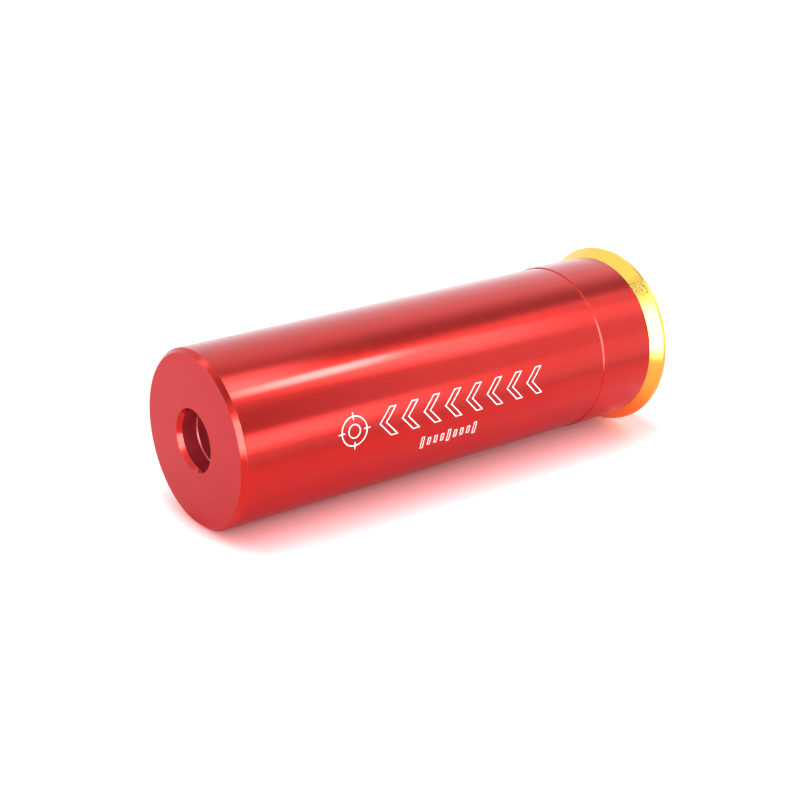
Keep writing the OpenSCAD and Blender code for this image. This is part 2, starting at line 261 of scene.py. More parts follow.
def skin(build, rings, closed):
    """Faces between neighbouring rings of vertices, with a face on each end unless the rings close up."""
    count = len(rings)
    for i in range(count if closed else count - 1):
        low, high = rings[i], rings[(i + 1) % count]
        sides = len(low)
        for k in range(sides):
            n = (k + 1) % sides
            build.faces.new((low[k], low[n], high[n], high[k]))
    if not closed:
        build.faces.new(rings[0])
        build.faces.new(rings[-1])


def sweep(build, centres, radius, sides):
    """Round wire of one radius along a list of local points."""
    count = len(centres)
    rings = []
    across = None
    for i, here in enumerate(centres):
        before, after = centres[max(i - 1, 0)], centres[min(i + 1, count - 1)]
        ahead = (after - before).normalized()
        if across is None:
            across = ahead.cross(Vector((0, 0, 1)) if abs(ahead.z) < 0.9 else Vector((1, 0, 0)))
        across = (across - ahead * across.dot(ahead)).normalized()
        up = ahead.cross(across)
        rings.append([
            build.verts.new(row(*(here + radius * (math.cos(TAU * k / sides) * across
                                                   + math.sin(TAU * k / sides) * up))))
            for k in range(sides)])
    skin(build, rings, False)


def place(piece, body, slot, *nodes):
    """Fastens a piece to its body and hides the CAD nodes it stands for."""
    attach(piece, body)
    if nodes:
        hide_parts(*nodes)
    return piece


# ---- materials
class Graph:
    """A node tree under construction."""

    def __init__(self, tree):
        self.tree = tree
        tree.nodes.clear()

    def add(self, kind, inputs=None, **settings):
        """A new node; inputs maps each socket to a value, or to the socket that feeds it."""
        node = self.tree.nodes.new(kind)
        for key, value in settings.items():
            setattr(node, key, value)
        for key, value in (inputs or {}).items():
            self.feed(node.inputs[key], value)
        return node

    def feed(self, socket, value):
        if isinstance(value, bpy.types.NodeSocket):
            self.tree.links.new(value, socket)
        else:
            socket.default_value = value

    def math(self, operation, a, b=0.0):
        return self.add("ShaderNodeMath", {0: a, 1: b}, operation=operation).outputs[0]

    def product(self, first, *others):
        for other in others:
            first = self.math("MULTIPLY", first, other)
        return first

    def remap(self, value, low, high, to_low, to_high, curve="LINEAR"):
        """to_low below low, to_high above high."""
        return self.add("ShaderNodeMapRange", {
            "Value": value, "From Min": low, "From Max": high, "To Min": to_low, "To Max": to_high},
            interpolation_type=curve).outputs["Result"]

    def ramp(self, value, start, end, low=0.0, high=1.0):
        """low before start, high after end, smooth between."""
        return self.remap(value, start, end, low, high, "SMOOTHSTEP")

    def between(self, value, rise, fall):
        """1 between the end of the rise and the start of the fall, 0 outside both."""
        return self.product(self.ramp(value, *rise), self.ramp(value, *fall, 1.0, 0.0))

    def mix(self, factor, a, b):
        return self.add("ShaderNodeMix", {0: factor, 6: a, 7: b}, data_type="RGBA").outputs[2]


class Shader(Graph):
    """A node material under construction."""

    def __init__(self, name):
        self.material = bpy.data.materials.new(name)
        self.material.use_nodes = True
        super().__init__(self.material.node_tree)
        self.surface = self.add("ShaderNodeBsdfPrincipled")
        self.add("ShaderNodeOutputMaterial", {"Surface": self.surface.outputs[0]})

    def set(self, **values):
        """Sets inputs of the surface, by names such as Base_Color."""
        for key, value in values.items():
            self.feed(self.surface.inputs[key.replace("_", " ")], value)

    def position(self):
        return self.add("ShaderNodeTexCoord").outputs["Object"]

    def noise(self, vector, scale, detail=3.0, roughness=0.55, w=None):
        inputs = {"Vector": vector, "Scale": scale, "Detail": detail, "Roughness": roughness}
        if w is not None:
            inputs["W"] = w
        return self.add("ShaderNodeTexNoise", inputs,
                        noise_dimensions="3D" if w is None else "4D").outputs["Fac"]

    def around_beam(self):
        """(cosine, sine, radius_m, height_m) of the shaded point about the beam axis."""
        parts = self.add("ShaderNodeSeparateXYZ", {0: self.position()})
        x, y, z = parts.outputs
        radius = self.math("SQRT", self.math("ADD", self.math("MULTIPLY", x, x),
                                             self.math("MULTIPLY", z, z)))
        safe = self.math("MAXIMUM", radius, 1e-5)
        return self.math("DIVIDE", x, safe), self.math("DIVIDE", z, safe), radius, y

    def turning(self, pitch, streak, detail=2.0):
        """Noise drawn out round the beam axis, like the marks of a lathe tool: pitch across the marks
        in millimetres, streak as the number of breaks along a mark."""
        cosine, sine, radius, height = self.around_beam()
        across = 1 / (pitch * MM)
        vector = self.add("ShaderNodeCombineXYZ", {
            0: self.math("MULTIPLY", cosine, streak),
            1: self.math("MULTIPLY", sine, streak),
            2: self.math("MULTIPLY", height, across)}).outputs[0]
        return self.noise(vector, 1.0, detail, w=self.math("MULTIPLY", radius, across))

    def bump(self, height, depth, normal=None):
        """Surface relief: depth in millimetres for a height of 1."""
        inputs = {"Height": height, "Distance": depth * MM, "Strength": 1.0}
        if normal is not None:
            inputs["Normal"] = normal
        return self.add("ShaderNodeBump", inputs).outputs["Normal"]

    def edges(self, radius):
        """1 on convex and concave edges narrower than the radius in millimetres, 0 on open surfaces."""
        bevel = self.add("ShaderNodeBevel", {"Radius": radius * MM}, samples=4)
        normal = self.add("ShaderNodeNewGeometry").outputs["Normal"]
        facing = self.add("ShaderNodeVectorMath", {0: bevel.outputs[0], 1: normal}, operation="DOT_PRODUCT")
        return self.remap(facing.outputs["Value"], 0.995, 0.9, 0.0, 1.0)


AXIAL = (0.0, 1.0, 0.0)


def anodised(name, colour, deep, roughness, mark_pitch=0.22, relief=0.00035, coat_rough=0.1, grain=0.6,
             edge_tint=(0.85, 0.72, 0.78, 1), scuffs=0.25, metallic=1.0,
             coat_ior=1.42, speck_turn=None, grit=0.0004):
    """Dyed anodised aluminium: tinted metal under a clear hard layer, with lathe marks and fine scuffs."""
    s = Shader(name)
    marks = s.turning(mark_pitch, 1.6)
    fine = s.turning(mark_pitch / 4, 5.0)
    cloud = s.noise(s.position(), 260.0, 3.0)
    dirt = s.noise(s.position(), 5200.0, 4.0, 0.7)
    scuff = s.remap(dirt, 0.66, 0.78, 0.0, scuffs)
    tone = s.mix(s.remap(cloud, 0.35, 0.65, 0.0, 1.0), deep, colour)
    worn = s.math("MULTIPLY", s.edges(0.12), s.remap(dirt, 0.45, 0.65, 0.0, 0.35))
    if speck_turn is not None:
        cosine, sine, radius, height = s.around_beam()
        a = math.radians(speck_turn)
        facing = s.math("ADD", s.math("MULTIPLY", cosine, math.sin(a)), s.math("MULTIPLY", sine, math.cos(a)))
        specks = s.remap(s.noise(s.position(), 8200.0, 2.0), 0.47, 0.57, 0.0, 0.9)
        on_cone = s.remap(height, -0.5 * MM, -0.4 * MM, 1.0, 0.0)
        patch = s.product(s.remap(facing, 0.985, 0.998, 0.0, 1.0), on_cone, specks)
        tone = s.mix(patch, tone, (0.22, 0.14, 0.06, 1))
    s.set(Base_Color=s.mix(worn, tone, (0.85, 0.62, 0.55, 1)),
          Specular_Tint=edge_tint,
          Metallic=metallic,
          Roughness=s.math("ADD", s.remap(marks, 0.3, 0.7, roughness - 0.03, roughness + 0.04), scuff),
          Anisotropic=grain,
          Tangent=AXIAL,
          Coat_Weight=1.0,
          Coat_IOR=coat_ior,
          Coat_Roughness=coat_rough,
          Normal=s.bump(s.noise(s.position(), 9500.0, 1.0), grit,
                        normal=s.bump(fine, relief / 3, normal=s.bump(marks, relief))))
    return s.material


def turned_metal(name, colour, roughness, mark_pitch=0.15, relief=0.002, tarnish=None, grain=0.5):
    """Bare turned metal, with a darker film in places."""
    s = Shader(name)
    marks = s.turning(mark_pitch, 2.0)
    cloud = s.noise(s.position(), 420.0, 4.0, 0.6)
    film = tarnish or tuple(0.72 * c for c in colour[:3]) + (1,)
    s.set(Base_Color=s.mix(s.remap(cloud, 0.42, 0.72, 0.0, 0.8), colour, film),
          Metallic=1.0,
          Roughness=s.remap(marks, 0.3, 0.7, roughness - 0.05, roughness + 0.08),
          Anisotropic=grain,
          Tangent=AXIAL,
          Normal=s.bump(marks, relief))
    return s.material


def drawn_metal(name, colour, roughness, relief=0.001, scale=2600.0):
    """Plated or drawn metal with fine pits: wire, cell cans, diode parts."""
    s = Shader(name)
    pits = s.noise(s.position(), scale, 4.0, 0.65)
    cloud = s.noise(s.position(), 700.0, 3.0)
    dull = tuple(0.8 * c for c in colour[:3]) + (1,)
    s.set(Base_Color=s.mix(s.remap(cloud, 0.4, 0.7, 0.0, 0.7), colour, dull),
          Metallic=1.0,
          Roughness=s.remap(pits, 0.3, 0.7, roughness - 0.04, roughness + 0.1),
          Normal=s.bump(pits, relief))
    return s.material


def moulded(name, colour, roughness, relief=0.002, scale=1800.0, sheen=0.0, subsurface=0.0):
    """Moulded plastic, ceramic or rubber with a fine grain and slight mottling."""
    s = Shader(name)
    grain = s.noise(s.position(), scale, 4.0, 0.6)
    cloud = s.noise(s.position(), 350.0, 3.0)
    pale = tuple(min(1.0, 1.25 * c + 0.01) for c in colour[:3]) + (1,)
    s.set(Base_Color=s.mix(s.remap(cloud, 0.35, 0.7, 0.0, 0.6), colour, pale),
          Roughness=s.remap(grain, 0.3, 0.7, roughness - 0.06, roughness + 0.1),
          Sheen_Weight=sheen,
          Subsurface_Weight=subsurface,
          Subsurface_Scale=0.4 * MM,
          Normal=s.bump(grain, relief))
    return s.material


def clear_glass(name, tint, ior=1.5, roughness=0.02):
    """Polished glass with a faint bloom of coating colour and dust."""
    s = Shader(name)
    dust = s.noise(s.position(), 3800.0, 4.0, 0.7)
    s.set(Base_Color=tint,
          Transmission_Weight=1.0,
          IOR=ior,
          Roughness=s.remap(dust, 0.5, 0.75, roughness, roughness + 0.18),
          Coat_Weight=0.4,
          Coat_Tint=(0.75, 0.85, 1.0, 1),
          Normal=s.bump(dust, 0.0003))
    return s.material


RED = anodised("red_anodised", (0.59, 0.006, 0.0008, 1), (0.56, 0.005, 0.0005, 1), 0.13, coat_rough=0.07)
RED_FACE = anodised("red_anodised_face", (0.55, 0.005, 0.007, 1), (0.52, 0.004, 0.005, 1), 0.34,
                    mark_pitch=0.12, relief=0.0004, coat_rough=0.24, grain=0.0, scuffs=0.08, coat_ior=1.38)
RED_BORE = anodised("red_anodised_bore", (0.46, 0.035, 0.05, 1), (0.30, 0.015, 0.022, 1), 0.4,
                    mark_pitch=0.35, relief=0.006, coat_rough=0.22, grain=0.3, metallic=0.6)
GOLD = anodised("gold_anodised", (0.97, 0.64, 0.09, 1), (0.95, 0.60, 0.07, 1), 0.17,
                mark_pitch=0.2, relief=0.0006, coat_rough=0.1, grain=0.4, edge_tint=(1, 1, 1, 1), scuffs=0.3,
                speck_turn=42)
GOLD_FACE = anodised("gold_anodised_face", (0.97, 0.64, 0.09, 1), (0.94, 0.58, 0.06, 1), 0.22,
                     mark_pitch=0.34, relief=0.0022, coat_rough=0.12, grain=0.0, edge_tint=(1, 1, 1, 1))
GOLD_THREAD = anodised("gold_anodised_thread", (0.88, 0.50, 0.05, 1), (0.8, 0.43, 0.04, 1), 0.24,
                       mark_pitch=0.3, relief=0.002, grain=0.2, edge_tint=(1, 1, 1, 1))
BRASS = turned_metal("turned_brass", (0.80, 0.58, 0.24, 1), 0.25)
STEEL_WIRE = drawn_metal("nickel_wire", (0.68, 0.67, 0.65, 1), 0.2)
NICKEL = drawn_metal("nickel_plate", (0.70, 0.69, 0.66, 1), 0.22, scale=3600.0)
GOLD_PLATE = drawn_metal("gold_plate", (0.92, 0.70, 0.32, 1), 0.24, scale=4200.0)
SOLDER = drawn_metal("bright_solder", (0.72, 0.72, 0.72, 1), 0.25, relief=0.003, scale=1600.0)
COPPER = drawn_metal("copper_block", (0.86, 0.48, 0.30, 1), 0.3, scale=4200.0)
PLAIN_ALU = turned_metal("turned_aluminium", (0.78, 0.79, 0.80, 1), 0.28)
BLACK_PART = moulded("black_moulding", (0.018, 0.018, 0.02, 1), 0.5)
CHIP = drawn_metal("semiconductor", (0.20, 0.21, 0.24, 1), 0.18, relief=0.0004, scale=6000.0)
TAN_CERAMIC = moulded("fired_ceramic", (0.40, 0.27, 0.15, 1), 0.55)
SLEEVE = moulded("insulating_tube", (0.78, 0.76, 0.70, 1), 0.42, relief=0.004, subsurface=0.15)
GASKET = moulded("gasket_nylon", (0.05, 0.20, 0.12, 1), 0.4)
POWDER = moulded("pressed_powder", (0.03, 0.03, 0.03, 1), 0.85, relief=0.02, scale=2400.0)
RUBBER = moulded("nitrile_rubber", (0.012, 0.012, 0.013, 1), 0.55, relief=0.003, sheen=0.2)
SEAL_GLASS = clear_glass("fused_seal_glass", (0.20, 0.28, 0.36, 1), roughness=0.1)
LENS_GLASS = clear_glass("lens_glass", (0.97, 0.99, 1.0, 1), ior=1.49)


def board_material():
    """Green solder mask over woven glass fibre."""
    s = Shader("solder_mask")
    weave = s.add("ShaderNodeTexBrick", {"Vector": s.position(), "Scale": 900.0, "Mortar Size": 0.02})
    cloud = s.noise(s.position(), 900.0, 3.0)
    patchy = s.remap(cloud, 0.3, 0.7, 0.0, 1.0)
    s.set(Base_Color=s.mix(patchy, (0.008, 0.11, 0.035, 1), (0.02, 0.19, 0.07, 1)),
          Roughness=s.remap(cloud, 0.3, 0.7, 0.22, 0.36),
          Coat_Weight=0.5,
          Normal=s.bump(weave.outputs["Fac"], 0.004, normal=s.bump(cloud, 0.004)))
    return s.material


def etched_material():
    """Laser-etched line: dye burnt off, leaving a matt pale oxide with a pink cast."""
    s = Shader("etched_line")
    grain = s.noise(s.position(), 9000.0, 3.0, 0.7)
    s.set(Base_Color=s.mix(grain, (1.0, 0.72, 0.69, 1), (1.0, 0.88, 0.86, 1)),
          Roughness=0.7,
          Normal=s.bump(grain, 0.004))
    return s.material


BOARD = board_material()
ETCHED = etched_material()


# ---- shell and cap
def build_shell():
    """The red shell: outer skin, countersunk aperture, stepped bores and the cap's thread."""
    rear, front, head_r = span("body_shell")
    step_z, step_slope = 9.85, 0.15
    chamfer = 0.5
    aperture_r, sink, sink_depth = 3.3, 0.32, 0.55
    drill_depth, drill_step = 2.3, 0.12
    bore_r, bore_end = 6.8, span("laser_barrel")[1] + 0.02
    seal_r, seal_end = 8.15, rear + 1.6
    thread_r, thread_end, pitch = 7.725, 9.39, 1.0
    relief_r, relief_len = 8.1, 0.8
    skin, face, bore = 0, 1, 2
    corners = [
        (seal_r + 0.26, rear, 0.04, skin),
        (head_r, rear, 0.07, skin),
        (head_r, step_z - step_slope, 0.03, skin),
        (FRONT_R, step_z, 0.03, skin),
        (FRONT_R, front - chamfer, 0.05, skin),
        (FRONT_R - chamfer, front, 0.06, face),
        (aperture_r + sink, front, 0.03, skin),
        (aperture_r, front - sink_depth, 0.05, bore),
        (aperture_r, front - drill_depth, 0.04, bore),
        (aperture_r - drill_step, front - drill_depth - 0.12, 0.04, bore),
        (aperture_r - drill_step, bore_end, 0.08, bore),
        (bore_r, bore_end, 0.05, bore),
        (bore_r, thread_end, 0.05, bore),
        (relief_r, thread_end, 0.05, bore),
        (relief_r, thread_end - relief_len, 0.0, bore),
    ]
    corners += along(thread_r, thread_end - relief_len - 0.02, thread_r, seal_end + 0.02,
                     int(PER_MM * (thread_end - relief_len - seal_end)), bore)
    corners += [(thread_r, seal_end, 0.0, bore), (seal_r, seal_end, 0.04, bore),
                (seal_r, rear + 0.26, 0.04, bore)]
    warp = thread(seal_end, thread_end - relief_len, 8.04, 7.46, pitch, 0.35)
    piece = lathe("shell", corners, [RED, RED_FACE, RED_BORE], segments=256, warp=warp)
    return place(piece, "housing", "red_anodised", "body_shell")


def build_cap():
    """The gold cap: coned rim, O-ring groove, screw thread, cell pocket and coin slot."""
    rear, front, rim_r = span("base_cap")
    rim_t, band = 1.79, 0.52
    shell_r = 10.15
    groove_r, groove_end = 7.0, rim_t + 1.4
    thread_r, crest_r, root_r, pitch = 7.675, 7.98, 7.42, 1.0
    pocket_r, floor_z = 6.05, 3.0
    skin, threaded, face = 0, 1, 2
    corners = [
        (0, rear, 0, face),
        (rim_r, rear, 0.12, skin),
        (rim_r, band, 0.06, skin),
        (shell_r, rim_t, 0.04, skin),
        (groove_r, rim_t, 0.08, threaded),
        (groove_r, groove_end, 0.08, threaded),
        (thread_r - 0.2, groove_end, 0.0, threaded),
    ]
    start = groove_end + 0.2
    corners += along(thread_r, start, thread_r, front - 0.42, int(PER_MM * (front - start)), threaded)
    corners += [
        (thread_r, front - 0.4, 0.0, threaded),
        (thread_r - 0.4, front, 0.06, threaded),
        (pocket_r, front, 0.08, threaded),
        (pocket_r, floor_z, 0.15, threaded),
        (0, floor_z, 0, threaded),
    ]
    warp = thread(start, front - 0.4, root_r, crest_r, pitch, 0.3)
    piece = lathe("rim_cap", corners, [GOLD, GOLD_THREAD, GOLD_FACE], segments=256, warp=warp)
    slot_w, slot_len, slot_depth = 1.6, 13.0, 1.2
    reach = (slot_len - slot_w) / 2
    build = bmesh.new()
    slot_outline = []
    for k in range(17):
        a = math.radians(-90 + 180 * k / 16)
        slot_outline.append((reach + slot_w / 2 * math.cos(a), slot_w / 2 * math.sin(a)))
    slot_outline += [(-x, -y) for x, y in slot_outline]
    low = [build.verts.new(row(x, y, -1.0)) for x, y in slot_outline]
    high = [build.verts.new(row(x, y, slot_depth)) for x, y in slot_outline]
    count = len(slot_outline)
    build.faces.new(low)
    build.faces.new(high)
    for k in range(count):
        n = (k + 1) % count
        build.faces.new((low[k], low[n], high[n], high[k]))
    cut(piece, [mesh_object("cutter", build, [])], edge=0.05)
    return place(piece, "cap", "gold_anodised", "base_cap")


# ---- etched mark
def etched_strip(build, path, closed, width=0.13, proud=0.012):
    """A flat line drawn on the shell. path holds (distance from the front face, arc length) pairs."""
    front = span("body_shell")[1]
    path = dense(path, closed)
    count = len(path)

    def on_shell(point, lift):
        a = point.y / FRONT_R
        r = FRONT_R + lift
        return row(r * math.sin(a), r * math.cos(a), front - point.x)

    rings = []
    for i in range(count):
        here = Vector(path[i])
        before = Vector(path[i - 1]) if i or closed else here
        after = Vector(path[(i + 1) % count]) if i < count - 1 or closed else here
        first = (here - before).normalized() if (here - before).length else (after - here).normalized()
        second = (after - here).normalized() if (after - here).length else first
        tangent = (first + second).normalized()
        side = Vector((-tangent.y, tangent.x))
        stretch = min(1.8, 1 / max(0.3, tangent.dot(first)))
        offset = side * (width / 2 * stretch)
        rings.append([build.verts.new(on_shell(here + s * offset, lift))
                      for s, lift in ((-1, -proud), (1, -proud), (1, proud), (-1, proud))])
    skin(build, rings, closed)


def dense(path, closed, step=0.25):
    """The same path with points close enough together to follow the shell's curve."""
    points = []
    count = len(path)
    for i in range(count if closed else count - 1):
        a, b = Vector(path[i]), Vector(path[(i + 1) % count])
        pieces = max(1, round((b - a).length / step))
        points += [tuple(a.lerp(b, k / pieces)) for k in range(pieces)]
    if not closed:
        points.append(path[-1])
    return points


def ring_path(cx, cy, r, count=40):
    return [(cx + r * math.cos(TAU * k / count), cy + r * math.sin(TAU * k / count)) for k in range(count)]


def chevron_path(x, y, length, height, bar):
    """A hollow chevron that points to the front face."""
    half = height / 2
    return [(x, y), (x + length, y - half), (x + length + bar, y - half), (x + bar, y),
            (x + length + bar, y + half), (x + length, y + half)]


def build_mark():
    """A plain etched beam mark: a target, hollow chevrons that point along the beam, and a tick scale."""
    middle = math.radians(85) * FRONT_R
    target_x, first_chevron, first_tick = 14.0, 17.4, 23.4
    build = bmesh.new()
    height = 3.2
    for r in (1.65, 0.75):
        etched_strip(build, ring_path(target_x, middle, r), True)
    for dx, dy in ((1, 0), (-1, 0), (0, 1), (0, -1)):
        tick = [(target_x + dx * 1.25, middle + dy * 1.25), (target_x + dx * 2.1, middle + dy * 2.1)]
        etched_strip(build, tick, False)
    pitch = 3.05
    for k in range(8):
        chevron = chevron_path(first_chevron + k * pitch, middle, 1.5, height, 0.85)
        etched_strip(build, chevron, True)
    scale_y = math.radians(107) * FRONT_R
    for k in range(9):
        tall = 1.5 if k % 4 == 0 else 0.9
        x = first_tick + k * 0.95
        box = [(x, scale_y - tall / 2), (x + 0.34, scale_y - tall / 2),
               (x + 0.34, scale_y + tall / 2), (x, scale_y + tall / 2)]
        etched_strip(build, box, True, width=0.11)
    piece = mesh_object("beam_mark", build, [ETCHED])
    return place(piece, "housing", "red_anodised")


# ---- laser module
def thread_stretch(r, z0, z1, zone=0):
    """Corners close enough together for a thread between two heights."""
    return along(r, z0, r, z1, int(abs(z1 - z0) * PER_MM), zone)


def build_barrel():
    """The brass barrel: board seat, parts pocket, diode seat, spring ledge and focusing thread."""
    rear, front, r = span("laser_barrel")
    edge, groove_d, groove_w = 0.3, 0.3, 0.8
    board_seat, pocket_r, pocket_end = 5.1, 4.35, 32.6
    diode_r, diode_end, clear_r, ledge = 2.825, 34.6, 2.3, 37.2
    focus_r = 4.5
    corners = [(board_seat, rear, 0.05), (r - edge, rear, 0.03), (r, rear + edge, 0.03)]
    for z in (rear + 5, front - 5):
        corners += [(r, z, 0.05), (r - groove_d, z, 0.05),
                    (r - groove_d, z + groove_w, 0.05), (r, z + groove_w, 0.05)]
    corners += [(r, front - edge, 0.03), (r - edge, front, 0.03), (focus_r + 0.3, front, 0.03)]
    corners += thread_stretch(focus_r, front - 0.3, ledge + 0.6)
    corners += [(focus_r, ledge + 0.6), (focus_r, ledge, 0.05), (clear_r, ledge, 0.05),
                (clear_r, diode_end, 0.03), (diode_r, diode_end, 0.03),
                (diode_r, pocket_end, 0.05), (pocket_r, pocket_end, 0.1),
                (pocket_r, rear + 1.6, 0.05), (board_seat, rear + 1.6, 0.03)]
    outer_limit = 5.0
    cutting = thread(ledge + 0.6, front - 0.3, focus_r + 0.12, focus_r + 0.01, 0.5, 0.3)

    def warp(radius, z, a):
        return cutting(radius, z, a) if radius < outer_limit and z > ledge else radius

    piece = lathe("barrel", corners, [BRASS], segments=128, warp=warp)
    return place(piece, "housing", "barrel_brass", "laser_barrel")


def build_module_retainer():
    """The slotted, threaded ring that holds the barrel against the front of the bore."""
    rear, front, r = span("module_retainer")
    hole_r, slot_w, slot_d = 4.9, 1.2, 0.9
    corners = [(hole_r, rear, 0.08), (r - 0.25, rear, 0.04), (r - 0.02, rear + 0.25, 0)]
    corners += thread_stretch(r, rear + 0.27, front - 0.27)
    corners += [(r - 0.02, front - 0.25, 0), (r - 0.25, front, 0.04), (hole_r, front, 0.08)]
    screw = thread(rear + 0.25, front - 0.25, r - 0.22, r, 0.75, 0.2)
    piece = lathe("module_ring", corners, [PLAIN_ALU], segments=128,
                  warp=lambda radius, z, a: screw(radius, z, a) if radius > 6 else radius)
    cut(piece, [cutter_box((3 * r, slot_w, 2 * slot_d), (0, 0, rear))], edge=0.05)
    return place(piece, "housing", "plain_aluminium", "module_retainer")


def build_lens_holder():
    """The threaded brass cell of the lens, with its flared mouth and screwdriver slots."""
    rear, front, r = span("lens_holder")
    lens_r, ledge, mouth_r, flare = 3.3, 44.01, 2.85, 0.4
    corners = [(lens_r, rear, 0.05), (r - 0.2, rear, 0.03)]
    corners += thread_stretch(r, rear + 0.2, front - 0.2)
    corners += [(r - 0.2, front, 0.03), (mouth_r + flare, front, 0.04),
                (mouth_r, front - 0.5, 0.05), (mouth_r, ledge, 0.04), (lens_r, ledge, 0.02)]
    screw = thread(rear + 0.15, front - 0.15, r - 0.12, r, 0.5, 0.2)
    piece = lathe("lens_cell", corners, [BRASS], segments=128,
                  warp=lambda radius, z, a: screw(radius, z, a) if radius > 4 else radius)
    cut(piece, [cutter_box((3 * r, 1.0, 1.6), (0, 0, front))], edge=0.04)
    return place(piece, "lens_cell", "barrel_brass", "lens_holder")


def build_lens():
    """The moulded plano-convex lens with its mounting flange."""
    rear, front, r = span("collimator_lens")
    flange, dome_r, curve = 0.8, 2.8, 4.2
    centre = front - curve
    corners = [(0, rear), (r, rear, 0.06), (r, rear + flange, 0.06),
               (dome_r, rear + flange, 0.02)]
    for k in range(1, 24):
        a = math.asin(dome_r / curve) * (1 - k / 24)
        corners.append((curve * math.sin(a), centre + curve * math.cos(a)))
    corners.append((0, front))
    piece = lathe("lens", corners, [LENS_GLASS], segments=96)
    return place(piece, "lens_cell", "lens_glass", "collimator_lens")


def build_lens_ring():
    rear, front, r = span("lens_retainer")
    corners = [(2.4, rear, 0.08), (r, rear, 0.06), (r, front, 0.06), (2.4, front, 0.15)]
    piece = lathe("lens_ring", corners, [BRASS], segments=96)
    cut(piece, [cutter_box((3 * r, 0.8, 1.0), (0, 0, rear))], edge=0.04)
    return place(piece, "lens_cell", "barrel_brass", "lens_retainer")


def coil(turns, length, wire, r0, r1, per_turn=36, dead=0.8):
    """Centre line of a spring whose end coils lie flat, as (x, y, height above its seat)."""
    lead_in = dead * wire * 1.04
    rise = (length - wire - 2 * lead_in) / (turns - 2 * dead)
    points = []
    for k in range(int(turns * per_turn) + 1):
        u = turns * k / int(turns * per_turn)
        if u < dead:
            height = u * lead_in / dead
        elif u > turns - dead:
            height = length - wire - (turns - u) * lead_in / dead
        else:
            height = lead_in + (u - dead) * rise
        r = r0 + (r1 - r0) * u / turns
        points.append(Vector((r * math.cos(TAU * u), r * math.sin(TAU * u), wire / 2 + height)))
    return points


def build_spring(name, node, wire, turns, radii, faces_rear):
    """A spring at the length of its CAD node; its first coil sits on the housing."""
    rear, front, _ = span(node)
    seat, far, sign = (front, rear, -1) if faces_rear else (rear, front, 1)
    build = bmesh.new()
    centres = [Vector((c.x, c.y, seat + sign * c.z)) for c in coil(turns, front - rear, wire, *radii)]
    sweep(build, centres, wire / 2, 12)
    piece = mesh_object(name, build, [STEEL_WIRE])
    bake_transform(piece)
    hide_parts(node)


LEAD_RING, LEAD_ANGLES = 1.27, (0, 90, 180)


def about_leads():
    """Centres of the three diode leads."""
    return [(LEAD_RING * math.cos(math.radians(a)), LEAD_RING * math.sin(math.radians(a)))
            for a in LEAD_ANGLES]


def build_diode():
    """The diode's drawn can, its three leads and the glass beads that seal two of them."""
    rear, front, r = span("diode_can")
    can_r, wall, window_r = 1.775, 0.15, 0.85
    corners = [(can_r - wall, rear), (r, rear, 0.03), (r, rear + wall, 0.06),
               (can_r, rear + wall, 0.08), (can_r, front, 0.25), (window_r, front, 0.05),
               (window_r, front - wall, 0.03), (can_r - wall, front - wall, 0.1)]
    place(lathe("can", corners, [GOLD_PLATE], segments=96), "housing", "gold_plate", "diode_can")
    low, _, _ = span("diode_leads")
    seal_low, seal_high, _ = span("lead_seals")
    leads, seals = bmesh.new(), bmesh.new()
    for index, (x, y) in enumerate(about_leads()):
        high = seal_low if LEAD_ANGLES[index] == 90 else seal_high + 0.5
        lead = rounded([(0, low), (0.225, low, 0.08), (0.225, high, 0.08), (0, high)])
        add_lathe(leads, lead, 24, centre=(x, y))
        if LEAD_ANGLES[index] != 90:
            bead = rounded([(0.23, seal_low, 0), (0.36, seal_low + 0.05, 0.1), (0.49, seal_low, 0),
                            (0.49, seal_high, 0), (0.36, seal_high - 0.05, 0.1),
                            (0.23, seal_high, 0)])
            add_lathe(seals, bead, 32, centre=(x, y))
    place(mesh_object("leads", leads, [GOLD_PLATE]), "housing", "gold_plate", "diode_leads")
    place(mesh_object("seals", seals, [SEAL_GLASS]), "housing", "seal_glass", "lead_seals")


def build_board_parts():
    """What is soldered to the board: a gull-wing transistor, two resistors, a capacitor, lead fillets."""
    top = span("driver_board")[1]
    seat_y = -2.7
    build = bmesh.new()
    add_box(build, (2.9, 1.3, 0.95), (0, seat_y, top + 0.575), 0, rounding=0.07)
    for x, side in ((-0.95, -1), (0.95, -1), (0, 1)):
        add_box(build, (0.4, 0.26, 0.12), (x, seat_y + side * 0.70, top + 0.49), 1, rounding=0.03)
        add_box(build, (0.4, 0.12, 0.50), (x, seat_y + side * 0.80, top + 0.30), 1, rounding=0.03)
        add_box(build, (0.4, 0.36, 0.12), (x, seat_y + side * 0.95, top + 0.06), 1, rounding=0.03)
    place(mesh_object("transistor", build, [BLACK_PART, SOLDER]), "housing", "chip_dark", "driver_transistor")

    build = bmesh.new()
    for a in (30, 150):
        a = math.radians(a)
        x, y = 3.1 * math.cos(a), 3.1 * math.sin(a)
        chip_part(build, (x, y), a + math.pi / 2, (1.6, 0.8, 0.45), top)
    place(mesh_object("resistors", build, [BLACK_PART, SOLDER]), "housing", "chip_dark", "board_resistors")
    build = bmesh.new()
    chip_part(build, (0, 3.0), 0, (2.0, 1.25, 0.8), top)
    place(mesh_object("capacitor", build, [TAN_CERAMIC, SOLDER]), "housing", "capacitor_tan",
          "board_capacitor")

    rear, front, _ = span("solder_joints")
    build = bmesh.new()
    for x, y in about_leads():
        fillet = [(0.23, front, 0), (0.23, rear, 0)]
        fillet += [(0.25 + 0.31 * k / 8, rear + (front - rear) * (1 - (1 - k / 8) ** 2), 0) for k in range(9)]
        add_lathe(build, fillet, 32, centre=(x, y))
    place(mesh_object("fillets", build, [SOLDER]), "housing", "solder", "solder_joints")


